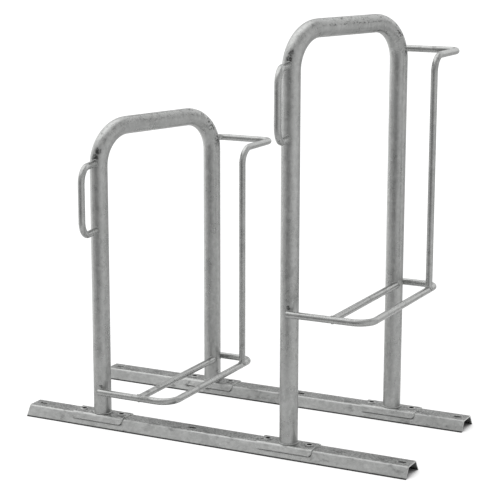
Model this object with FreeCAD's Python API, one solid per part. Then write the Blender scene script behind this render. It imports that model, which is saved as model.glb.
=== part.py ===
import FreeCAD, Part
import math
import os

# Two-place floor bike rack: two steel floor rails carry a low and a high tube hoop.
# Each hoop has a wheel holder of bent round bar and a loop for a lock.
# +X runs along the rails, +Y from the front rail to the rear rail, +Z up.
# The origin is on the floor, at the middle of the whole rack's outline.  Millimetres.

V = FreeCAD.Vector
UP = V(0, 0, 1)

# ---- stock ----
TUBE_D = 42.4            # hoop tube, outside
TUBE_WALL = 2.6
BAR_D = 16.0             # round bar of the wheel holders and lock loops

# ---- floor rails: folded channels, open underneath and at both ends ----
RAIL_LENGTH = 1000.0
RAIL_SPACING = 365.5     # front rail's middle to rear rail's middle
RAIL_BASE = 79.0         # outside width at the floor
RAIL_TOP = 46.0          # outside width at the top, measured to the sharp corners
RAIL_HEIGHT = 26.0
RAIL_WALL = 3.0
RAIL_BEND_R = 6.0        # outside radius of the two folds

# ---- anchor slots in the rails' tops ----
SLOT_LENGTH = 22.0
SLOT_WIDTH = 11.0
SLOT_INSET = 25.0        # rail end to the middle of an end slot
SLOT_MIDDLE = 57.0       # rail's middle to its third slot

# ---- saddles: short shoes folded over the rails, one under each hoop leg ----
SADDLE_LENGTH = 140.0
SADDLE_WALL = 3.0
SADDLE_EDGE = 14.3       # floor to the lower edge of the saddle's sides
SADDLE_CORNER_R = 7.0
SADDLE_HOLES = 105.0     # screw to screw
SCREW_HOLE_D = 11.0
DRAIN_HOLE_D = 18.0      # lets the zinc run out of the tube

# ---- hoops ----
HOOP_PITCH = 500.0       # low hoop to high hoop
LEG_SHIFT = 107.5        # how far the rear leg stands along the rail from the front leg
LOW_HEIGHT = 744.0       # floor to the top of the tube
HIGH_HEIGHT = 991.0
HOOP_BEND_R = 90.0       # to the tube's centre line

# ---- wheel holders, placed from the front leg's axis ----
LOW_CRADLE_Z = 87.3      # floor to the cradle bar's axis
HIGH_CRADLE_Z = 338.8
OUTER_X = 205.7          # outer side of the cradle, and the upright
GUIDE_X = 118.0          # inner guide bar
UPRIGHT_Y = 342.5
BOW_RISE = 556.0         # cradle to the bow behind the wheel's top
BOW_Y = 506.5            # bow's back run
BOW_LEFT_X = 66.0        # bow's left corner
BAR_END_PAST = 1.0       # how far the cradle's two ends pass the leg's axis
CRADLE_FRONT_R = 40.0
CRADLE_REAR_R = 28.0
UPRIGHT_TOP_R = 40.0
BOW_R = 22.0

# ---- lock loops ----
LOOP_REACH = 108.0       # tube axis to the loop's outer run
LOOP_HEIGHT = 160.5      # between the two arms' axes; the upper arm is level with the bow
LOOP_TURN = 10.0         # degrees from straight forwards, towards the bike
LOOP_BEND_R = 37.0

# ---- M10 button-head screws and flange nuts ----
SCREW_D = 10.0
SCREW_LENGTH = 20.0
HEAD_D = 17.5
HEAD_H = 5.5
HEAD_FLAT_D = 9.0
SOCKET_AF = 6.0
SOCKET_DEPTH = 3.2
NUT_AF = 15.0
NUT_H = 10.0
NUT_FLANGE_D = 21.8
NUT_FLANGE_H = 2.0
THREAD_GAP = 0.05        # nut's bore clear of the screw, on the radius

# ---- welds ----
FOOT_WELD = 5.0          # leg length of the fillet round each tube foot
BAR_WELD = 3.2           # how far a bead stands out from the bar that it ends
BEAD_RISE = 2.8          # and from the tube or bar that it is laid on
COPE_GAP = 0.05          # a bar's shaped end, clear of the bar that it meets

# ---- derived ----
TUBE_R = TUBE_D / 2
BAR_R = BAR_D / 2
SIDE_BY_SIDE = TUBE_R + BAR_R                 # axis to axis, bar laid against a leg
SADDLE_TOP = RAIL_HEIGHT + SADDLE_WALL
SIDE_RUN = (RAIL_BASE - RAIL_TOP) / 2         # how far a rail's side leans in
SIDE_ANGLE = math.atan2(RAIL_HEIGHT, SIDE_RUN)
TURN = math.radians(LOOP_TURN)
LOOP_FORWARD = V(math.sin(TURN), -math.cos(TURN), 0)
FRONT_REACH = max(LOOP_REACH * math.cos(TURN) + BAR_R, RAIL_BASE / 2)
REAR_REACH = max(BOW_Y + BAR_R, RAIL_SPACING + RAIL_BASE / 2)
FRONT_Y = -(REAR_REACH - FRONT_REACH) / 2     # front rail's middle
REAR_Y = FRONT_Y + RAIL_SPACING


# ---- shapes used again and again ----
def rounded_wire(points, radii, closed):
    """Straight runs through the points, each corner rounded by a tangent arc (0 keeps it sharp)."""
    count = len(points)
    edges, last = [], None
    first = None
    for i, corner in enumerate(points):
        if not closed and i in (0, count - 1):
            start = end = corner
        else:
            before = (points[i - 1] - corner).normalize()
            after = (points[(i + 1) % count] - corner).normalize()
            half = before.getAngle(after) / 2
            reach = radii[i] / math.tan(half)
            start, end = corner + before * reach, corner + after * reach
        if last is not None and (start - last).Length > 1e-6:
            edges.append(Part.LineSegment(last, start).toShape())
        if (end - start).Length > 1e-6:
            centre = corner + (before + after).normalize() * (radii[i] / math.sin(half))
            middle = centre + (corner - centre).normalize() * radii[i]
            edges.append(Part.Arc(start, middle, end).toShape())
        first = start if first is None else first
        last = end
    if closed and (first - last).Length > 1e-6:
        edges.append(Part.LineSegment(last, first).toShape())
    return Part.Wire(edges)


def bent_bar(points, radii, radius):
    """Round bar or solid tube of the given radius along straight runs and bends."""
    path = rounded_wire(points, radii, closed=False)
    along = points[1] - points[0]
    circle = Part.Wire(Part.Circle(points[0], along, radius).toShape())
    return path.makePipeShell([circle], True, False)


def rod(start, end, radius):
    """Straight round solid between two points."""
    return Part.makeCylinder(radius, (end - start).Length, start, end - start)


def rail_section(offset, bottom):
    """The rail's outside trapezoid, grown by offset on the top and both sides, in the YZ plane."""
    top = RAIL_HEIGHT + offset
    lean = 1 / math.tan(SIDE_ANGLE)

    def half_width(z):
        return RAIL_BASE / 2 - z * lean + offset / math.sin(SIDE_ANGLE)

    corners = [V(0, -half_width(bottom), bottom), V(0, -half_width(top), top),
               V(0, half_width(top), top), V(0, half_width(bottom), bottom)]
    bend = RAIL_BEND_R + offset
    return Part.Face(rounded_wire(corners, [0, bend, bend, 0], closed=True))


def channel(length, outer, inner, bottom):
    """Folded channel along X between two offsets of the rail's outside."""
    skin = rail_section(outer, bottom).extrude(V(length, 0, 0))
    hollow = rail_section(inner, bottom).extrude(V(length, 0, 0))
    return skin.cut(hollow).translate(V(-length / 2, 0, 0))


def slot_cutter(x):
    """Round-ended slot along X, through the rail's top."""
    straight = (SLOT_LENGTH - SLOT_WIDTH) / 2
    low, high = RAIL_HEIGHT - 2 * RAIL_WALL, 3 * RAIL_WALL
    cutter = Part.makeBox(2 * straight, SLOT_WIDTH, high, V(x - straight, -SLOT_WIDTH / 2, low))
    for side in (-straight, straight):
        cutter = cutter.fuse(Part.makeCylinder(SLOT_WIDTH / 2, high, V(x + side, 0, low)))
    return cutter.removeSplitter()


def holes(positions, diameter):
    """Upright cutters through a rail's or a saddle's top."""
    low, high = RAIL_HEIGHT - 2 * RAIL_WALL, 3 * RAIL_WALL + SADDLE_WALL
    return [Part.makeCylinder(diameter / 2, high, V(x, 0, low)) for x in positions]


def prism(across_flats, height, base):
    """Upright hexagonal prism."""
    corner = across_flats / math.sqrt(3)
    points = [base + V(corner * math.cos(math.pi / 3 * k), corner * math.sin(math.pi / 3 * k), 0)
              for k in range(7)]
    return Part.Face(Part.makePolygon(points)).extrude(V(0, 0, height))


def turned(profile, axis_at):
    """Solid of revolution about an upright axis; the profile is (radius, height) pairs."""
    points = [V(r, 0, z) for r, z in profile]
    face = Part.Face(Part.makePolygon(points + points[:1]))
    return face.revolve(V(0, 0, 0), UP, 360).translate(axis_at)


# ---- rails ----
def saddle_screw_places(leg_x):
    return [leg_x - SADDLE_HOLES / 2, leg_x + SADDLE_HOLES / 2]


def make_rail(leg_places, middle_slot):
    """One rail about its own middle, with its anchor slots and the holes under each saddle."""
    rail = channel(RAIL_LENGTH, 0, -RAIL_WALL, 0)
    end_slot = RAIL_LENGTH / 2 - SLOT_INSET
    cutters = [slot_cutter(x) for x in (-end_slot, middle_slot, end_slot)]
    for leg_x in leg_places:
        cutters += holes(saddle_screw_places(leg_x), SCREW_HOLE_D)
    return rail.cut(cutters)


def make_saddle():
    """Saddle about its leg's axis: screw holes, and a drain hole under the tube."""
    saddle = channel(SADDLE_LENGTH, SADDLE_WALL, 0, SADDLE_EDGE)
    end = SADDLE_LENGTH / 2
    outline = [V(-end, 0, SADDLE_EDGE), V(end, 0, SADDLE_EDGE),
               V(end, 0, 2 * SADDLE_TOP), V(-end, 0, 2 * SADDLE_TOP)]
    side_view = Part.Face(rounded_wire(outline, [SADDLE_CORNER_R, SADDLE_CORNER_R, 0, 0], closed=True))
    saddle = saddle.common(side_view.extrude(V(0, 2 * RAIL_BASE, 0)).translate(V(0, -RAIL_BASE, 0)))
    cutters = holes(saddle_screw_places(0), SCREW_HOLE_D) + holes([0], DRAIN_HOLE_D)
    return saddle.cut(cutters)


# ---- fasteners ----
def make_screw(x, y):
    """Button-head screw with a hexagon socket, its head seated on the saddle."""
    seat, rim = SADDLE_TOP, HEAD_H / 4
    shank_end = seat - SCREW_LENGTH
    chamfer = SCREW_D / 10
    start = V(HEAD_D / 2, 0, seat + rim)
    top = V(HEAD_FLAT_D / 2, 0, seat + HEAD_H)
    crown = V((HEAD_D + HEAD_FLAT_D) / 4 + HEAD_H / 5, 0, seat + rim + (HEAD_H - rim) * 0.6)
    outline = Part.makePolygon([top, V(0, 0, seat + HEAD_H), V(0, 0, shank_end),
                                V(SCREW_D / 2 - chamfer, 0, shank_end),
                                V(SCREW_D / 2, 0, shank_end + chamfer),
                                V(SCREW_D / 2, 0, seat), V(HEAD_D / 2, 0, seat), start])
    dome = Part.Arc(start, crown, top).toShape()
    screw = Part.Face(Part.Wire(outline.Edges + [dome])).revolve(V(0, 0, 0), UP, 360)
    socket = prism(SOCKET_AF, SOCKET_DEPTH + 1, V(0, 0, seat + HEAD_H - SOCKET_DEPTH))
    return screw.cut(socket).translate(V(x, y, 0))


def make_nut(x, y):
    """Flange nut, seated under the rail's top."""
    seat = RAIL_HEIGHT - RAIL_WALL
    flange = turned([(0, seat), (NUT_FLANGE_D / 2, seat), (NUT_FLANGE_D / 2, seat - NUT_FLANGE_H / 2),
                     (NUT_AF / 2, seat - 2 * NUT_FLANGE_H), (0, seat - 2 * NUT_FLANGE_H)], V(0, 0, 0))
    nut = prism(NUT_AF, NUT_H, V(0, 0, seat - NUT_H)).fuse(flange)
    bore = Part.makeCylinder(SCREW_D / 2 + THREAD_GAP, 2 * NUT_H, V(0, 0, seat - 1.5 * NUT_H))
    return nut.cut(bore).translate(V(x, y, 0))


# ---- one hoop and all that is welded to it ----
def make_foot_weld(foot):
    """Fillet between a leg and its saddle."""
    return turned([(TUBE_R, SADDLE_TOP), (TUBE_R + FOOT_WELD, SADDLE_TOP), (TUBE_R, SADDLE_TOP + FOOT_WELD)],
                  V(foot.x, foot.y, 0))


def make_bead(core_a, grown_a, core_b, grown_b):
    """Weld metal in the corner where two round pieces meet."""
    return grown_a.common(grown_b).cut([core_a, core_b])


def make_hoop_set(name, leg_x, height, cradle_z):
    """Nodes of one hoop, whose front leg stands at leg_x on the front rail."""
    front = V(leg_x, FRONT_Y, 0)
    rear = front + V(LEG_SHIFT, RAIL_SPACING, 0)
    top_z = height - TUBE_R
    bow_z = cradle_z + BOW_RISE
    cradle = front + UP * cradle_z

    # the hoop: two upright legs on the saddles, joined across the top by two bends
    route = [front + UP * SADDLE_TOP, front + UP * top_z, rear + UP * top_z, rear + UP * SADDLE_TOP]
    hoop_solid = bent_bar(route, [0, HOOP_BEND_R, HOOP_BEND_R, 0], TUBE_R)
    hoop = hoop_solid.cut(bent_bar(route, [0, HOOP_BEND_R, HOOP_BEND_R, 0], TUBE_R - TUBE_WALL))

    # the cradle: laid against the front leg, round the outside of the wheel, to the rear leg
    front_run, rear_run = -SIDE_BY_SIDE, RAIL_SPACING + SIDE_BY_SIDE
    cradle_points = [cradle + V(-BAR_END_PAST, front_run, 0), cradle + V(OUTER_X, front_run, 0),
                     cradle + V(OUTER_X, rear_run, 0), cradle + V(LEG_SHIFT - BAR_END_PAST, rear_run, 0)]
    cradle_bar = bent_bar(cradle_points, [0, CRADLE_FRONT_R, CRADLE_REAR_R, 0], BAR_R)

    # the inner guide: from the cradle's front run to the rear leg
    guide_front = cradle + V(GUIDE_X, front_run, 0)
    guide_rear = cradle + V(GUIDE_X, RAIL_SPACING, 0)
    side_x, back_y = V(1, 0, 0), V(0, 1, 0)
    near = 2 * BAR_D

    def crossing(middle, along):
        """A short stretch of the cradle where a bar ends on it: as cut for the cope, and as weld."""
        start, end = middle - along * near, middle + along * near
        return rod(start, end, BAR_R + COPE_GAP), rod(start, end, BAR_R + BEAD_RISE)

    front_core, front_grown = crossing(guide_front, side_x)
    guide = rod(guide_front, guide_rear, BAR_R).cut([front_core, hoop_solid])

    # the retainer: an upright on the cradle, then a bow round the back of the wheel to the rear leg
    upright_foot = cradle + V(OUTER_X, UPRIGHT_Y, 0)
    bow_level = front + UP * bow_z
    leg_end = rear + UP * bow_z
    bow = [upright_foot, bow_level + V(OUTER_X, UPRIGHT_Y, 0), bow_level + V(OUTER_X, BOW_Y, 0),
           bow_level + V(BOW_LEFT_X, BOW_Y, 0), leg_end]
    outer_core, outer_grown = crossing(upright_foot, back_y)
    retainer = bent_bar(bow, [0, UPRIGHT_TOP_R, BOW_R, BOW_R, 0], BAR_R).cut([outer_core, hoop_solid])

    # the lock loop: two arms from the front leg, its upper arm level with the bow
    arm_high, arm_low = bow_level, bow_level - UP * LOOP_HEIGHT
    out = LOOP_FORWARD * LOOP_REACH
    loop = bent_bar([arm_low, arm_low + out, arm_high + out, arm_high],
                    [0, LOOP_BEND_R, LOOP_BEND_R, 0], BAR_R).cut(hoop_solid)

    # weld beads: beside the two bars laid against a leg, and round each bar's end
    def leg_pair(foot, z):
        low, high = foot + UP * (z - near), foot + UP * (z + near)
        return rod(low, high, TUBE_R), rod(low, high, TUBE_R + BEAD_RISE)

    def bar_pair(end, towards):
        return rod(end, end + towards * near, BAR_R), rod(end, end + towards * near, BAR_R + BAR_WELD)

    to_bow = (bow[3] - leg_end).normalize()
    on_legs = [(front, cradle_points[0], side_x), (rear, cradle_points[3], side_x),
               (rear, guide_rear, back_y * -1), (rear, leg_end, to_bow),
               (front, arm_high, LOOP_FORWARD), (front, arm_low, LOOP_FORWARD)]
    beads = [make_bead(*bar_pair(end, towards), *leg_pair(foot, end.z)) for foot, end, towards in on_legs]
    beads.append(make_bead(*bar_pair(guide_front, back_y), front_core, front_grown))
    beads.append(make_bead(*bar_pair(upright_foot, UP), outer_core, outer_grown))

    nodes = {name + "_hoop_tube": [hoop], name + "_wheel_cradle": [cradle_bar],
             name + "_inner_guide": [guide], name + "_wheel_retainer": [retainer],
             name + "_lock_loop": [loop], name + "_bar_welds": beads,
             name + "_foot_welds": [make_foot_weld(front), make_foot_weld(rear)]}
    for place, foot in (("front", front), ("rear", rear)):
        spots = [(x, foot.y) for x in saddle_screw_places(foot.x)]
        nodes["%s_%s_saddle" % (name, place)] = [make_saddle().translate(foot)]
        nodes["%s_%s_screws" % (name, place)] = [make_screw(x, y) for x, y in spots]
        nodes["%s_%s_nuts" % (name, place)] = [make_nut(x, y) for x, y in spots]
    return nodes


def build():
    # both hoops are centred on their half of the rails; the rear rail is the front one turned round
    low_front = -HOOP_PITCH / 2 - LEG_SHIFT / 2
    high_front = low_front + HOOP_PITCH
    rail = make_rail([low_front, high_front], -SLOT_MIDDLE)
    turned_rail = rail.copy()
    turned_rail.rotate(V(0, 0, 0), UP, 180)
    nodes = {"front_rail": [rail.translate(V(0, FRONT_Y, 0))],
             "rear_rail": [turned_rail.translate(V(0, REAR_Y, 0))]}
    nodes.update(make_hoop_set("low", low_front, LOW_HEIGHT, LOW_CRADLE_Z))
    nodes.update(make_hoop_set("high", high_front, HIGH_HEIGHT, HIGH_CRADLE_Z))
    return nodes


def save(nodes):
    os.makedirs("parts", exist_ok=True)
    for name, pieces in nodes.items():
        solids = [solid for piece in pieces for solid in piece.Solids]
        shape = solids[0] if len(solids) == 1 else Part.makeCompound(solids)
        shape.exportStep("parts/%s.step" % name)
        print("%-22s %d solid(s) %10.0f mm3 valid %s" % (name, len(solids), shape.Volume, shape.isValid()))


save(build())
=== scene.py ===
"""Looks of the floor bike rack: galvanised steel, weld beads, a pale floor and soft light.

Everything is in metres, in the part's own frame: +X along the rails, +Y to the rear, +Z up.
"""

import math
import random

from types import SimpleNamespace

import bpy
from mathutils import Euler, Matrix, Vector


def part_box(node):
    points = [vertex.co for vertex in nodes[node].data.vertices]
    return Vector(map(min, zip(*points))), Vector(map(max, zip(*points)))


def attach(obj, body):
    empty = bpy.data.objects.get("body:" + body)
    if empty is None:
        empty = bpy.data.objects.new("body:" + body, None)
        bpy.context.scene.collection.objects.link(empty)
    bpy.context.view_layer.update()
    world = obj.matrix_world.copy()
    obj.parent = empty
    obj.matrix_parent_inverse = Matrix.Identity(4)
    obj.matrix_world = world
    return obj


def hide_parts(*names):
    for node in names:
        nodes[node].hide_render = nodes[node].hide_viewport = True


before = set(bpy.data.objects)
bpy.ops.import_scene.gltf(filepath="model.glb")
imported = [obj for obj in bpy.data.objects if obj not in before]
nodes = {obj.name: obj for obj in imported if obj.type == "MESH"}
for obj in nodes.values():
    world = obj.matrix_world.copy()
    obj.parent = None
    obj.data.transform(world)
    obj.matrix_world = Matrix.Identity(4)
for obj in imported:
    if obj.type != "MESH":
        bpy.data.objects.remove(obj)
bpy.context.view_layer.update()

# ---------------------------------------------------------------- sizes and places
MM = 0.001
X, Y, UP = Vector((1, 0, 0)), Vector((0, 1, 0)), Vector((0, 0, 1))
HOOPS = ("low", "high")

TUBE_R = 21.2 * MM                  # hoop tube
HOOP_BEND_R = 90.0 * MM             # its two bends
BAR_R = 8.0 * MM                    # round bar
CRADLE_START = 7.0 * MM             # front leg's axis to the cradle's end, along X
CRADLE_FRONT_R, CRADLE_REAR_R = 40.0 * MM, 28.0 * MM
UPRIGHT_BACK = 342.5 * MM           # front leg's axis to the retainer's upright, along Y
UPRIGHT_TOP_R = 40.0 * MM
BOW_R, BOW_LEFT_R = 22.0 * MM, 18.0 * MM
BOW_LEFT = 45.0 * MM                # front leg's axis to the bow's left corner, along X
LOOP_TURN = math.radians(10)        # the lock loop's arms are turned this far from straight ahead
SADDLE_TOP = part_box("low_front_saddle")[1].z
SCREW_SPACING = 105.0 * MM          # along a saddle


def at(foot, z):
    return Vector((foot.x, foot.y, z))


def measure(name):
    """Places on one hoop, read from the frame's boxes."""
    low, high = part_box(name + "_hoop_tube")
    cradle_low, cradle_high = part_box(name + "_wheel_cradle")
    guide_low, guide_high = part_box(name + "_inner_guide")
    retainer_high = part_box(name + "_wheel_retainer")[1]
    loop_low, loop_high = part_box(name + "_lock_loop")
    h = SimpleNamespace(name=name)
    h.front = Vector((low.x + TUBE_R, low.y + TUBE_R, 0))
    h.rear = Vector((high.x - TUBE_R, high.y - TUBE_R, 0))
    h.top_z = high.z - TUBE_R
    h.cradle_z = (cradle_low.z + cradle_high.z) / 2
    h.front_run_y = cradle_low.y + BAR_R
    h.rear_run_y = cradle_high.y - BAR_R
    h.outer_x = cradle_high.x - BAR_R
    h.guide_x = (guide_low.x + guide_high.x) / 2
    h.bow_z = retainer_high.z - BAR_R
    h.bow_y = retainer_high.y - BAR_R
    h.bow_left = Vector((h.front.x + BOW_LEFT, h.bow_y, h.bow_z))
    h.upright_foot = Vector((h.outer_x, h.front.y + UPRIGHT_BACK, h.cradle_z))
    h.to_bow = (h.bow_left - at(h.rear, h.bow_z)).normalized()
    h.loop_arms = (loop_low.z + BAR_R, loop_high.z - BAR_R)
    h.loop_dir = Vector((math.sin(LOOP_TURN), -math.cos(LOOP_TURN), 0))
    return h


hoops = [measure(name) for name in HOOPS]


# ---------------------------------------------------------------- nodes of materials and of the sky
class Nodes:
    """Adds nodes to a tree and links their sockets by name or by number."""

    def __init__(self, tree):
        self.tree = tree

    def add(self, kind, settings=None, **sockets):
        node = self.tree.nodes.new("ShaderNode" + kind)
        for key, value in (settings or {}).items():
            setattr(node, key, value)
        for key, value in sockets.items():
            self.put(node, key.replace("_", " "), value)
        return node

    def put(self, node, socket, value):
        """Sets a socket to a number or colour, or links it to another node's output."""
        target = node.inputs[int(socket)] if socket.isdigit() else node.inputs[socket]
        if isinstance(value, bpy.types.NodeSocket):
            self.tree.links.new(value, target)
        else:
            target.default_value = value

    def math(self, operation, first, second=0):
        return self.add("Math", {"operation": operation}, **{"0": first, "1": second}).outputs[0]

    def times(self, first, second):
        return self.math("MULTIPLY", first, second)

    def vector_math(self, operation, *vectors):
        inputs = {str(number): vector for number, vector in enumerate(vectors)}
        return self.add("VectorMath", {"operation": operation}, **inputs)

    def span(self, value, low, high, out_low=0.0, out_high=1.0, smooth=False):
        """Maps low..high to out_low..out_high, held at the ends."""
        kind = "SMOOTHSTEP" if smooth else "LINEAR"
        sockets = {"From Min": low, "From Max": high, "To Min": out_low, "To Max": out_high}
        return self.add("MapRange", {"interpolation_type": kind}, Value=value, **sockets).outputs[0]

    def darken(self, value, mask, amount=1.0):
        """Takes `amount` of the value away where the mask is 1."""
        return self.times(value, self.math("SUBTRACT", 1.0, self.times(mask, amount)))

    def noise(self, where, scale, detail=3.0, roughness=0.55, stretch=None):
        """Noise from 0 to 1 about 0.5; stretch scales the three axes one by one."""
        if stretch:
            where = self.vector_math("MULTIPLY", where, stretch).outputs[0]
        node = self.add("TexNoise", Vector=where, Scale=scale, Detail=detail, Roughness=roughness)
        return node.outputs["Fac"]

    def jittered(self, where, scale, detail, reach):
        """The place pushed about by noise, from 0 to `reach` along each axis."""
        push = self.add("TexNoise", Vector=where, Scale=scale, Detail=detail).outputs["Color"]
        return self.vector_math("MULTIPLY_ADD", push, (reach,) * 3, where).outputs[0]

    def near(self, where, centre, radius, core=0.4, smooth=False):
        """1 within the core's share of the radius from a point, falling to 0 at the radius."""
        away = self.vector_math("DISTANCE", where, tuple(centre)).outputs["Value"]
        return self.span(away, core * radius, radius, 1, 0, smooth)

    def any_near(self, where, spots, **shape):
        """The largest of the spots' nearness."""
        nearest = 0.0
        for centre, radius in spots:
            nearest = self.math("MAXIMUM", nearest, self.near(where, centre, radius, **shape))
        return nearest


def new_shader(name):
    material = bpy.data.materials.new(name)
    material.use_nodes = True
    s = Nodes(material.node_tree)
    s.material, s.surface = material, s.tree.nodes["Principled BSDF"]
    return s


# ---------------------------------------------------------------- galvanised steel
ZINC_TINT = {"Red": 0.988, "Green": 1.0, "Blue": 0.985}
METALLIC = 0.9
BUMP_DEPTH = 1.2 * MM
CRYSTAL_BEND = 8 * MM       # how far the crystals' edges wander
BURN_AND_SHADOW_RAG = 16 * MM          # how ragged the edge of a burn mark with painted shadow is


def zinc_skin(s, place, streak, crystal):
    """Clouds, finer mottles, crystals and grit about a value of 1; also the clouds and the crystals alone."""
    clouds = s.noise(place, 26, 4, 0.6, streak)
    mottle = s.noise(place, 120, 3, 0.6, streak)
    grit = s.noise(place, 520, 2, 0.5)
    cells = s.add("TexVoronoi", Vector=s.jittered(place, 90, 1, CRYSTAL_BEND), Scale=150.0)
    facets = s.add("SeparateColor", Color=cells.outputs["Color"]).outputs[0]
    value = s.span(clouds, 0.25, 0.75, 0.86, 1.12)
    value = s.times(value, s.span(mottle, 0.28, 0.72, 0.91, 1.08))
    value = s.times(value, s.span(facets, 0, 1, 1 - 0.07 * crystal, 1 + 0.07 * crystal))
    value = s.times(value, s.span(grit, 0.3, 0.7, 0.93, 1.07))
    return value, clouds, facets


def stains(s, place, normal, streak):
    """Dull stains, mostly on what faces up."""
    blots = s.span(s.noise(place, 48, 5, 0.66, streak), 0.55, 0.68, smooth=True)
    return s.times(blots, s.span(normal["Z"], -0.1, 0.7, 0.25, 1.0))


def dirty_tops(s, value, place, normal, amount):
    """Level tops darker: painted shade for the dim light they catch, and dirt from being walked on: patches,
    and dark and bare spots.
    """
    level = s.span(normal["Z"], 0.93, 0.99)
    patches = s.span(s.noise(place, 60, 5, 0.7), 0.38, 0.62, 0.45, 1.0)
    scabs = s.span(s.noise(place, 230, 2, 0.5), 0.43, 0.60, -0.16, 0.44)
    value = s.darken(value, s.times(level, patches), amount)
    return s.darken(value, s.times(level, scabs))


def black_specks(s, place, normal, speckled, dotted):
    """Specks where the zinc is thin: on curved tops, thickest at the speckled places, and in a dotted row
    along the right side of a level run.
    """
    thick = s.any_near(place, speckled)
    grains = s.noise(place, 230, 2, 0.5)
    thin = s.math("ADD", grains, s.times(thick, 0.075))
    broad = s.span(s.noise(place, 45, 3, 0.6), 0.40, 0.56, 0.2, 1)
    broad = s.times(broad, s.span(normal["Z"], 0.05, 0.40))
    broad = s.times(broad, s.span(normal["Y"], -0.35, -0.05, 0.3, 1.0))
    specks = s.times(s.span(thin, 0.55, 0.61), s.math("MAXIMUM", broad, thick))
    off_row = s.math("ABSOLUTE", s.math("SUBTRACT", normal["Z"], 0.30))
    row = s.times(s.span(off_row, 0.05, 0.12, 1, 0), s.span(normal["X"], 0.86, 0.91))
    dots = s.times(s.times(row, s.span(grains, 0.50, 0.57)), s.near(place, *dotted))
    return s.math("MAXIMUM", specks, s.times(dots, 0.8))


def burnt_spots(s, place, burns_and_shadows):
    """Ragged spots beside welds: burn marks, with painted shadow where the bars meet the legs."""
    middle = Vector((1, 1, 1)) * BURN_AND_SHADOW_RAG / 2       # what the rag pushes a place by on the whole
    spots = [(centre + middle, radius) for centre, radius in burns_and_shadows]
    burnt_and_shaded = s.any_near(s.jittered(place, 140, 4, BURN_AND_SHADOW_RAG), spots, core=0.5, smooth=True)
    return s.times(burnt_and_shaded, s.span(s.noise(place, 240, 4, 0.6), 0.36, 0.56, 0.35, 1.0))


def galvanised(name, tone, roughness, crystal=1.0, streak=(1, 1, 1), lumps=1.0, edge=0.0, wear_and_highlight=1.0,
               painted_shade=None, top_shade_and_dirt=0.0, foot_shadow_line=0.0, specks=0.0, speckled=(), dotted=None, burns_and_shadows=()):
    """Hot-dip zinc: cloudy tone, pale crystals, dull stains on what faces up, a skin never quite even.

    tone: mean brightness.
    streak: how the clouds are squeezed along each axis.
    lumps: unevenness of the skin.
    edge: radius that corners are softened by.
    wear_and_highlight: how much brighter the corners are, and the ends cut square to X: wear, and a painted
    highlight.
    painted_shade: how far the painted shade in corners and hollows looks for walls, and the openness where it
    is full and where it ends.
    top_shade_and_dirt: how much level tops are darkened, partly painted shade and partly dirt.
    foot_shadow_line: height of the painted contact shadow, a black line at the sheet's lower edge.
    specks: how black specks are on curved tops.
    speckled, dotted, burns: (place, radius) where the specks are thickest, where they make a dotted row, and
    of spots beside welds: burn marks with painted shadow.
    """
    s = new_shader(name)
    place = s.add("TexCoord").outputs["Object"]
    true_normal = s.add("NewGeometry").outputs["Normal"]
    normal = s.add("SeparateXYZ", **{"0": true_normal}).outputs

    value, clouds, facets = zinc_skin(s, place, streak, crystal)
    stain = stains(s, place, normal, streak)
    value = s.times(value, s.span(stain, 0, 1, 1.0, 0.60))
    # Painted shade and dirt on level tops.
    if top_shade_and_dirt:
        value = dirty_tops(s, value, place, normal, top_shade_and_dirt)
    # Painted contact shadow: the lowest few millimetres of the sheet go black.
    if foot_shadow_line:
        height = s.add("SeparateXYZ", **{"0": place}).outputs["Z"]
        value = s.times(value, s.span(height, 0.6 * foot_shadow_line, foot_shadow_line, 0.10, 1.0))
    if specks:
        value = s.darken(value, black_specks(s, place, normal, speckled, dotted), specks)
    # Burn marks with painted shadow beside the welds.
    if burns_and_shadows:
        value = s.times(value, s.span(burnt_spots(s, place, burns_and_shadows), 0, 1, 1.0, 0.16))
    # Wear and painted highlight: corners and square-cut ends made lighter.
    if edge:
        soft_normal = s.add("Bevel", {"samples": 6}, Radius=edge).outputs[0]
        same = s.vector_math("DOT_PRODUCT", soft_normal, true_normal).outputs["Value"]
        cut_end = s.span(s.math("ABSOLUTE", normal["X"]), 0.80, 0.95, 1.0, wear_and_highlight)
        value = s.times(value, s.math("MAXIMUM", cut_end, s.span(same, 0.80, 0.97, wear_and_highlight, 1.0)))
    # Painted shade: darker where nearby walls close in, in corners and hollows.
    if painted_shade:
        reach, full, gone = painted_shade
        open_sky = s.add("AmbientOcclusion", {"samples": 8}, Distance=reach).outputs["AO"]
        value = s.times(value, s.span(open_sky, full, gone, 0.05, 1.0, smooth=True))
    value = s.times(value, tone)

    colour = s.add("CombineColor")
    for socket, tint in ZINC_TINT.items():
        s.put(colour, socket, s.times(value, tint))
    s.put(s.surface, "Base Color", colour.outputs[0])
    s.surface.inputs["Metallic"].default_value = METALLIC
    rough = s.math("ADD", s.span(clouds, 0.3, 0.7, roughness - 0.07, roughness + 0.08),
                   s.span(facets, 0, 1, -0.05, 0.05))
    s.put(s.surface, "Roughness", s.math("ADD", rough, s.span(stain, 0, 1, 0, 0.14)))

    swell = s.times(s.noise(place, 34, 2, 0.5), 0.55 * lumps)
    pits = s.times(s.noise(place, 260, 3, 0.6), 0.09 * lumps)
    height = s.math("ADD", s.math("ADD", swell, pits), s.times(facets, 0.02 * crystal))
    bump = s.add("Bump", Strength=1.0, Distance=BUMP_DEPTH, Height=height)
    if edge:
        s.put(bump, "Normal", soft_normal)
    s.put(s.surface, "Normal", bump.outputs[0])
    return s.material


# burn marks with painted shadow, from the front leg's axis, at the lock loop's upper arm and at the cradle
LOOP_BURNS_AND_SHADOWS, LOOP_BURN_AND_SHADOW_R = (Vector((2, -21, 13)) * MM, Vector((7, -17, 29)) * MM), 12 * MM
CRADLE_BURN_AND_SHADOW, CRADLE_BURN_AND_SHADOW_R = Vector((7, -20, 12)) * MM, 5 * MM
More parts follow.
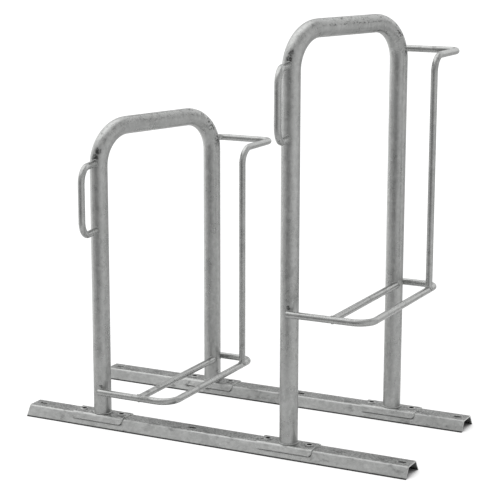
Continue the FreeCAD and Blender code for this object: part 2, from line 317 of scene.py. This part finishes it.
# how far round the rear bend, from the leg, and where from the tube's axis
SPECKLED_TURNS = (math.radians(15), math.radians(48))
SPECKLED_SIDE, SPECKLED_R = Vector((16, 8, 6)) * MM, 30 * MM
DOTTED_R = 170 * MM


def burns_on_legs():
    """Burn marks with painted shadow on the front legs: above each lock loop's upper arm, and above the
    cradle's end.
    """
    spots = []
    for h in hoops:
        spots += [(at(h.front, h.loop_arms[1]) + past, LOOP_BURN_AND_SHADOW_R) for past in LOOP_BURNS_AND_SHADOWS]
        spots.append((at(h.front, h.cradle_z) + CRADLE_BURN_AND_SHADOW, CRADLE_BURN_AND_SHADOW_R))
    return spots


def specks_on_bends():
    """Two places on the right side of each hoop's rear bend."""
    spots = []
    for h in hoops:
        for turn in SPECKLED_TURNS:
            back_and_down = Y * (math.cos(turn) - 1) + UP * (math.sin(turn) - 1)
            on_axis = at(h.rear, h.top_z) + back_and_down * HOOP_BEND_R
            spots.append((on_axis + SPECKLED_SIDE, SPECKLED_R))
    return spots


def dotted_run():
    """The middle of the high hoop's top run."""
    high = hoops[-1]
    return at((high.front + high.rear) / 2, high.top_z), DOTTED_R


SHEET = galvanised("galvanised_sheet", 0.468, 0.39, crystal=1.2, streak=(0.6, 1, 1), lumps=0.8,
                   edge=1.5 * MM, wear_and_highlight=1.6, painted_shade=(45 * MM, 0.15, 0.46), top_shade_and_dirt=0.34, foot_shadow_line=3.6 * MM)
TUBE = galvanised("galvanised_tube", 0.475, 0.33, crystal=1.0, streak=(1, 1, 0.55), lumps=0.7, specks=0.80,
                  speckled=specks_on_bends(), dotted=dotted_run(), burns_and_shadows=burns_on_legs())
BAR = galvanised("galvanised_bar", 0.455, 0.27, crystal=0.2, lumps=0.15)
WELD = galvanised("galvanised_weld", 0.44, 0.40, crystal=0.4, lumps=0.5)
FIXING = galvanised("zinc_fixing", 0.42, 0.36, crystal=0.2, lumps=0.2, edge=0.4 * MM,
                    painted_shade=(8 * MM, 0.15, 0.50))
# painted shade: near-black for the faces inside the screws' recesses and sockets
SOCKET_SHADE = galvanised("socket_dirt", 0.025, 0.6, crystal=0.2, lumps=0.2)

# by the ending of the node's name; the rest are bars
FINISHES = {"rail": SHEET, "saddle": SHEET, "hoop_tube": TUBE, "welds": WELD, "screws": FIXING,
            "nuts": FIXING}
for node_name, node in nodes.items():
    finish = next((FINISHES[ending] for ending in FINISHES if node_name.endswith(ending)), BAR)
    for material_slot in node.material_slots:
        material_slot.material = finish


# ---------------------------------------------------------------- meshes
def circle_turns(sides):
    return [math.tau * j / sides for j in range(sides)]


def ring_faces(first, rings, sides, closed=False, along_first=False):
    """Four-sided faces between rings of points that follow each other in the vertices, from `first` on.

    From its first corner a face goes along the ring, or else along the row of rings.
    """
    faces = []
    for i in range(rings if closed else rings - 1):
        a, b = first + i * sides, first + (i + 1) % rings * sides
        for j in range(sides):
            k = (j + 1) % sides
            faces.append([a + j, b + j, b + k, a + k] if along_first else [a + j, a + k, b + k, b + j])
    return faces


def new_object(name, vertices, faces, material):
    mesh = bpy.data.meshes.new(name)
    mesh.from_pydata([tuple(v) for v in vertices], [], faces)
    mesh.validate()
    mesh.shade_smooth()
    mesh.materials.append(material)
    piece = bpy.data.objects.new(name, mesh)
    bpy.context.scene.collection.objects.link(piece)
    return piece


def solid_piece(name, vertices, faces, material):
    """Smooth piece with sharp corners."""
    piece = new_object(name, vertices, faces, material)
    piece.data.set_sharp_from_angle(angle=math.radians(35))
    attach(piece, "root")
    return piece


# ---------------------------------------------------------------- weld beads
BEAD_SIDES = 12
SCALE_PITCH = 2.6 * MM      # one weld scale to the next
BAR_BEAD_R, FOOT_BEAD_R = 1.9 * MM, 1.6 * MM
BAR_SEED, FOOT_SEED = 11, 21
BEAD_LIFT = 0.2 * MM        # how far a bead stands out of its corner
LOOP_BEAD_LIFT = -0.9 * MM  # the loops' beads lie deep in theirs
FOOT_BEAD_OUT = 1.0 * MM    # the feet's beads stand off the tube and the saddle
LAP_END = 14 * MM           # leg's axis to the far end of the beads beside the cradle
# a bead beside the cradle: height over the bar's axis and reach past the leg, in bar radii, and its lean
LAP_RISE, LAP_REACH, LAP_LEAN = 0.80, 0.35, 1.4
COLLAR_SCALES = (2.0, 5.0, 8.5, 11.5)   # ripples of weld on the low bow's end, millimetres from the tube
COLLAR_SINK = 0.7 * MM


def bead_rings(path, closed, thickness, rng):
    """Rings of points along a path of (point, outward): a row of overlapping scales with uneven edges."""
    count = len(path)
    phase = rng.random()
    swell = [rng.uniform(0.9, 1.12) for _ in range(8)]
    length = 0.0
    points = []
    for i, (point, outward) in enumerate(path):
        ahead = path[(i + 1) % count if closed else min(i + 1, count - 1)][0]
        behind = path[i - 1 if closed or i else 0][0]
        along = (ahead - behind).normalized()
        side = along.cross(outward).normalized()
        out = side.cross(along).normalized()
        scale_at = (length / SCALE_PITCH + phase) % 1.0
        ripple = 0.86 + 0.22 * (1 - scale_at) ** 0.7
        part = i / count * len(swell)
        k = int(part)
        broad = swell[k % 8] + (swell[(k + 1) % 8] - swell[k % 8]) * (part - k)
        taper = 1.0 if closed else min(1.0, 0.45 + 0.55 * min(i, count - 1 - i) / 6)
        for a in circle_turns(BEAD_SIDES):
            r = thickness * ripple * broad * taper * (1 + rng.uniform(-0.05, 0.05))
            points.append(point + (side * math.cos(a) + out * math.sin(a) * 0.9) * r)
        length += (ahead - point).length
    return points


def bead_mesh(name, paths, thickness, seed):
    """Weld metal laid along each (path, closed). A path is closed when its last point meets its first."""
    rng = random.Random(seed)
    vertices, faces = [], []
    for path, closed in paths:
        first = len(vertices)
        vertices += bead_rings(path, closed, thickness, rng)
        faces += ring_faces(first, len(path), BEAD_SIDES, closed, along_first=True)
        if not closed:
            last = len(vertices) - BEAD_SIDES
            faces.append([first + j for j in range(BEAD_SIDES)])
            faces.append([last + j for j in reversed(range(BEAD_SIDES))])
    return new_object(name, vertices, faces, WELD)


def crossing_path(centre, along, towards, core_r, lift, steps=96):
    """Where a bar that leaves `centre` in the direction `towards` meets the round piece along `along`."""
    across = along.cross(towards)
    path = []
    for a in circle_turns(steps):
        ring = along * math.cos(a) + across * math.sin(a)
        reach = math.sqrt(max(core_r ** 2 - (BAR_R * math.sin(a)) ** 2, 0))
        point = centre + towards * reach + ring * BAR_R
        from_axis = (point - centre) - along * (point - centre).dot(along)
        outward = (ring + from_axis.normalized()).normalized()
        path.append((point + outward * lift, outward))
    return path


def guide_path(h, steps=96):
    """Where the guide meets the rear leg, off the leg's axis, worked out on the leg's own circle."""
    offset = h.guide_x - h.rear.x
    path = []
    for a in circle_turns(steps):
        x = offset + BAR_R * math.cos(a)
        reach = math.sqrt(max(TUBE_R ** 2 - x ** 2, 0))
        ring = Vector((math.cos(a), 0, math.sin(a)))
        point = Vector((h.rear.x + x, h.rear.y - reach, h.cradle_z + BAR_R * math.sin(a)))
        outward = (ring + Vector((x, -reach, 0)).normalized()).normalized()
        path.append((point + outward * BEAD_LIFT, outward))
    return path


def lap_paths(leg, z, leg_side, start, steps=18):
    """Along the two corners, above and below, between a leg and the bar that is laid across it."""
    groove = TUBE_R + LAP_REACH * BAR_R
    runs = []
    for sign in (1, -1):
        run = []
        for i in range(steps):
            s = start + (LAP_END - start) * i / (steps - 1)
            close = math.sqrt(groove ** 2 - s ** 2)
            point = at(leg, z + sign * LAP_RISE * BAR_R) + X * s + leg_side * close
            run.append((point, (leg_side + UP * sign * LAP_LEAN).normalized()))
        runs.append(run)
    return runs


def foot_path(leg, steps=180):
    """Ring in the corner between a leg and its saddle."""
    path = []
    for a in circle_turns(steps):
        ring = Vector((math.cos(a), math.sin(a), 0))
        point = at(leg, SADDLE_TOP + FOOT_BEAD_OUT) + ring * (TUBE_R + FOOT_BEAD_OUT)
        path.append((point, (ring + UP).normalized()))
    return path


def collar_path(centre, along, distance, steps=48):
    """Ring round a bar, at a distance along it."""
    side = along.cross(UP)
    path = []
    for a in circle_turns(steps):
        ring = side * math.cos(a) + UP * math.sin(a)
        path.append((centre + along * distance + ring * (BAR_R - COLLAR_SINK), ring))
    return path


def bar_beads(h):
    """The paths of all the beads between one hoop's bars and legs, with whether each is closed."""
    bow_end = at(h.rear, h.bow_z)
    beads = [crossing_path(bow_end, UP, h.to_bow, TUBE_R, BEAD_LIFT)]
    beads += [crossing_path(at(h.front, z), UP, h.loop_dir, TUBE_R, LOOP_BEAD_LIFT) for z in h.loop_arms]
    beads.append(crossing_path(Vector((h.guide_x, h.front_run_y, h.cradle_z)), X, Y, BAR_R, BEAD_LIFT))
    beads.append(crossing_path(h.upright_foot, Y, UP, BAR_R, BEAD_LIFT))
    if h.name == "low":
        beads += [collar_path(bow_end, h.to_bow, TUBE_R + past * MM) for past in COLLAR_SCALES]
    beads.append(guide_path(h))
    laps = lap_paths(h.front, h.cradle_z, -Y, CRADLE_START) + lap_paths(h.rear, h.cradle_z, Y, 0)
    return [(path, True) for path in beads] + [(path, False) for path in laps]


for number, h in enumerate(hoops):
    bar_welds = bead_mesh(h.name + "_weld_beads", bar_beads(h), BAR_BEAD_R, BAR_SEED + number)
    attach(bar_welds, "root")
    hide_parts(h.name + "_bar_welds")

    feet = [(foot_path(leg), True) for leg in (h.front, h.rear)]
    foot_welds = bead_mesh(h.name + "_foot_beads", feet, FOOT_BEAD_R, FOOT_SEED + number)
    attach(foot_welds, "root")
    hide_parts(h.name + "_foot_welds")


# ---------------------------------------------------------------- cradles and wheel retainers
BAR_SIDES = 32
BEND_STEP = math.radians(5)


def centre_line(corners, bends):
    """(point, direction) along straight runs joined by arcs; bends holds each corner's radius."""
    line = [(corners[0], (corners[1] - corners[0]).normalized())]
    for i in range(1, len(corners) - 1):
        arrive = (corners[i] - corners[i - 1]).normalized()
        leave = (corners[i + 1] - corners[i]).normalized()
        turn = arrive.angle(leave)
        axis = arrive.cross(leave).normalized()
        start = corners[i] - arrive * bends[i] * math.tan(turn / 2)
        centre = start + axis.cross(arrive) * bends[i]
        count = math.ceil(turn / BEND_STEP)
        for k in range(count + 1):
            spin = Matrix.Rotation(turn * k / count, 3, axis)
            line.append((centre + spin @ (start - centre), spin @ arrive))
    line.append((corners[-1], (corners[-1] - corners[-2]).normalized()))
    return line


def coped(point, outwards, core_at, core_along, core_r):
    """The point moved along a bar's end run, onto the round piece that the bar is cut to fit."""
    def across(vector):
        return vector - core_along * vector.dot(core_along)

    p, d = across(point - core_at), across(outwards)
    a, b, c = d.dot(d), 2 * p.dot(d), p.dot(p) - core_r ** 2
    return point + outwards * (-b + math.sqrt(max(b * b - 4 * a * c, 0))) / (2 * a)


def bar_piece(name, corners, bends, first_core=None, last_core=None):
    """Round bar along a route, each end cut to the round piece (place, direction, radius) that it meets,
    or cut square where it meets none.
    """
    line = centre_line(corners, bends)
    normal, before = line[0][1].orthogonal().normalized(), line[0][1]
    rings = []
    for point, along in line:
        normal = before.rotation_difference(along) @ normal
        before = along
        side = along.cross(normal)
        rings.append([point + (normal * math.cos(a) + side * math.sin(a)) * BAR_R
                      for a in circle_turns(BAR_SIDES)])
    if first_core:
        rings[0] = [coped(point, line[0][1], *first_core) for point in rings[0]]
    if last_core:
        rings[-1] = [coped(point, -line[-1][1], *last_core) for point in rings[-1]]
    vertices = [point for ring in rings for point in ring]
    faces = ring_faces(0, len(rings), BAR_SIDES)
    for ring, base, order in ((rings[0], 0, -1), (rings[-1], (len(rings) - 1) * BAR_SIDES, 1)):
        vertices.append(sum(ring, Vector()) / BAR_SIDES)
        for j in range(BAR_SIDES):
            faces.append([base + j, base + (j + 1) % BAR_SIDES, len(vertices) - 1][::order])
    return solid_piece(name, vertices, faces, BAR)


for h in hoops:
    near = Vector((h.outer_x, h.front_run_y, h.cradle_z))
    far = Vector((h.outer_x, h.rear_run_y, h.cradle_z))
    route = [Vector((h.front.x + CRADLE_START, near.y, near.z)), near, far, Vector((h.rear.x, far.y, far.z))]
    cradle = bar_piece(h.name + "_cradle_bar", route, [0, CRADLE_FRONT_R, CRADLE_REAR_R, 0])
    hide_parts(h.name + "_wheel_cradle")

    route = [h.upright_foot, at(h.upright_foot, h.bow_z), Vector((h.outer_x, h.bow_y, h.bow_z)), h.bow_left,
             at(h.rear, h.bow_z)]
    retainer = bar_piece(h.name + "_retainer_bar", route, [0, UPRIGHT_TOP_R, BOW_R, BOW_LEFT_R, 0],
                         (h.upright_foot, Y, BAR_R), (at(h.rear, 0), UP, TUBE_R))
    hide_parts(h.name + "_wheel_retainer")


# ---------------------------------------------------------------- saddle screws
SHANK_R, SHANK_LENGTH, SHANK_CHAMFER = 5.0 * MM, 20.0 * MM, 1.2 * MM
HEAD_R, HEAD_FLAT_R, HEAD_H, HEAD_RIM = 10.0 * MM, 7.0 * MM, 2.2 * MM, 0.8 * MM
SOCKET_AF, SOCKET_DEPTH = 6.0 * MM, 7.5 * MM
RECESS = ((5.8 * MM, 0), (4.5 * MM, 2.0 * MM), (4.3 * MM, 4.6 * MM))     # radius and depth, over the hexagon
SCREW_SIDES = 48
DOME_STEPS = 5
HEAD_TOP = SADDLE_TOP + HEAD_H


def screw_rings(spot):
    """Rings of points from a screw's end, up round its low head and down into its hexagon socket."""
    turns = circle_turns(SCREW_SIDES)

    def circle(radius, z):
        return [Vector((spot.x + radius * math.cos(a), spot.y + radius * math.sin(a), z)) for a in turns]

    def hexagon(z):
        sixth = math.tau / 6
        reach = [SOCKET_AF / 2 / math.cos(a % sixth - sixth / 2) for a in turns]
        return [Vector((spot.x + r * math.cos(a), spot.y + r * math.sin(a), z)) for r, a in zip(reach, turns)]

    end = SADDLE_TOP - SHANK_LENGTH
    run, drop = HEAD_R - HEAD_FLAT_R, HEAD_H - HEAD_RIM
    dome_r = (run ** 2 + drop ** 2) / (2 * drop)
    whole = math.atan2(run, dome_r - drop)
    dome = [(dome_r * math.sin(a), dome_r * (1 - math.cos(a)))
            for a in (whole * k / DOME_STEPS for k in range(DOME_STEPS, -1, -1))]
    return ([circle(SHANK_R - SHANK_CHAMFER, end), circle(SHANK_R, end + SHANK_CHAMFER),
             circle(SHANK_R, SADDLE_TOP), circle(HEAD_R, SADDLE_TOP)]
            + [circle(HEAD_FLAT_R + past, HEAD_TOP - depth) for past, depth in dome]
            + [circle(radius, HEAD_TOP - depth) for radius, depth in RECESS]
            + [hexagon(HEAD_TOP - RECESS[-1][1]), hexagon(HEAD_TOP - SOCKET_DEPTH)])


def in_socket(face, spots):
    """Whether a face is inside a screw's recess or socket."""
    off_axis = min(math.hypot(face.center.x - spot.x, face.center.y - spot.y) for spot in spots)
    return off_axis < RECESS[0][0] and face.center.z > HEAD_TOP - SOCKET_DEPTH - 0.1 * MM


def screw_piece(name, spots):
    vertices, faces = [], []
    for spot in spots:
        rings = screw_rings(spot)
        first = len(vertices)
        vertices += [point for ring in rings for point in ring]
        last = len(vertices) - SCREW_SIDES
        faces += ring_faces(first, len(rings), SCREW_SIDES)
        faces.append([first + j for j in reversed(range(SCREW_SIDES))])
        faces.append([last + j for j in range(SCREW_SIDES)])
    piece = solid_piece(name, vertices, faces, FIXING)
    # the faces inside the recess and socket get the painted shade
    piece.data.materials.append(SOCKET_SHADE)
    for face in piece.data.polygons:
        face.material_index = 1 if in_socket(face, spots) else 0
    return piece


for h in hoops:
    for place, leg in (("front", h.front), ("rear", h.rear)):
        spots = [leg - X * SCREW_SPACING / 2, leg + X * SCREW_SPACING / 2]
        node_name = "%s_%s_screws" % (h.name, place)
        screws = screw_piece(node_name + "_low_head", spots)
        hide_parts(node_name)


# ---------------------------------------------------------------- stage
FLOOR_RADIUS, FLOOR_SIDES = 40.0, 96
FLOOR_GREY, FLOOR_GLOW = 0.32, 0.80
CONTACT_SHADOW = 80 * MM    # how far the thin shadow round the rails reaches
BOUNCE_RADIUS = 1.1         # pale floor close round the rack; past it the metal mirrors the studio
BOUNCE_DROP, BOUNCE_GREY = 0.2 * MM, 0.85


def flat_shader(name, grey, glow):
    """Matt grey with a white glow."""
    s = new_shader(name)
    s.put(s.surface, "Base Color", (grey, grey, grey, 1))
    s.put(s.surface, "Roughness", 0.9)
    s.put(s.surface, "Specular IOR Level", 0.0)
    s.put(s.surface, "Emission Color", (1, 1, 1, 1))
    s.put(s.surface, "Emission Strength", glow)
    return s


def shaded_floor():
    """Pale floor whose glow fades close to what stands on it, and goes out inside the rails."""
    s = flat_shader("pale_floor", FLOOR_GREY, FLOOR_GLOW)
    openness = s.add("AmbientOcclusion", {"samples": 16}, Distance=CONTACT_SHADOW).outputs["AO"]
    s.put(s.surface, "Emission Strength", s.span(openness, 0.30, 0.78, 0, FLOOR_GLOW, smooth=True))
    return s.material


def disc(name, radius, z, material):
    ring = [(radius * math.cos(a), radius * math.sin(a), z) for a in circle_turns(FLOOR_SIDES)]
    plate = new_object(name, ring, [list(range(FLOOR_SIDES))], material)
    return plate


floor = disc("floor", FLOOR_RADIUS, 0.0, shaded_floor())
floor.visible_glossy = False
floor.visible_diffuse = False
bounce_skin = flat_shader("floor_bounce", BOUNCE_GREY, 0).material
bounce = disc("floor_bounce", BOUNCE_RADIUS, -BOUNCE_DROP, bounce_skin)
bounce.visible_camera = False

# ---------------------------------------------------------------- light
ROOM_LIGHT = 0.60
# azimuth from +Y towards +X, elevation, half angles where it ends and where it is full, brightness;
# a black card takes light away
LIGHTS = {
    "soft box overhead": (-82, 62, 48, 18, 1.08),
    "soft box on the left": (-74, -6, 48, 14, 0.62),
    "panel behind": (12, 25, 34, 15, 0.52),
    "panel on the right": (92, -2, 46, 20, 0.24),
    "black card behind the camera": (182, -2, 38, 14, -0.30),
}


def studio_light():
    """Soft boxes and a black card painted on the sky by direction, so that every view has the same light."""
    world = bpy.data.worlds.new("studio")
    bpy.context.scene.world = world
    world.use_nodes = True
    sky = Nodes(world.node_tree)
    direction = sky.add("TexCoord").outputs["Generated"]
    total = ROOM_LIGHT
    for *angles, strength in LIGHTS.values():
        azimuth, elevation, outer, inner = (math.radians(angle) for angle in angles)
        towards = (math.sin(azimuth) * math.cos(elevation), math.cos(azimuth) * math.cos(elevation),
                   math.sin(elevation))
        facing = sky.vector_math("DOT_PRODUCT", direction, towards).outputs["Value"]
        light = sky.span(facing, math.cos(outer), math.cos(inner), 0, strength, smooth=True)
        total = sky.math("ADD", light, total)
    background = sky.tree.nodes["Background"]
    sky.put(background, "Color", (1, 1, 1, 1))
    sky.put(background, "Strength", total)


studio_light()

# ---------------------------------------------------------------- camera
CAMERA_AT = (1.7083, -3.4027, 1.2371)
CAMERA_YAW, CAMERA_PITCH, CAMERA_ROLL = 26.72, 12.07, 0.11     # degrees: left of +Y, down, clockwise
SENSOR_WIDTH, FOCAL_LENGTH = 36.0, 116.365                     # millimetres
SIGHT = 200.0                                                  # how far the camera sees

camera_data = bpy.data.cameras.new("photo_camera")
camera_data.sensor_width = SENSOR_WIDTH
camera_data.lens = FOCAL_LENGTH
camera_data.clip_end = SIGHT
camera = bpy.data.objects.new("photo_camera", camera_data)
bpy.context.scene.collection.objects.link(camera)
camera.location = CAMERA_AT
turn = Euler((math.radians(90 - CAMERA_PITCH), 0, math.radians(CAMERA_YAW)), "XYZ").to_matrix()
roll = Euler((0, 0, math.radians(CAMERA_ROLL)), "XYZ").to_matrix()
camera.rotation_euler = (turn @ roll).to_euler()
bpy.context.scene.camera = camera
bpy.context.scene.view_settings.view_transform = "Standard"
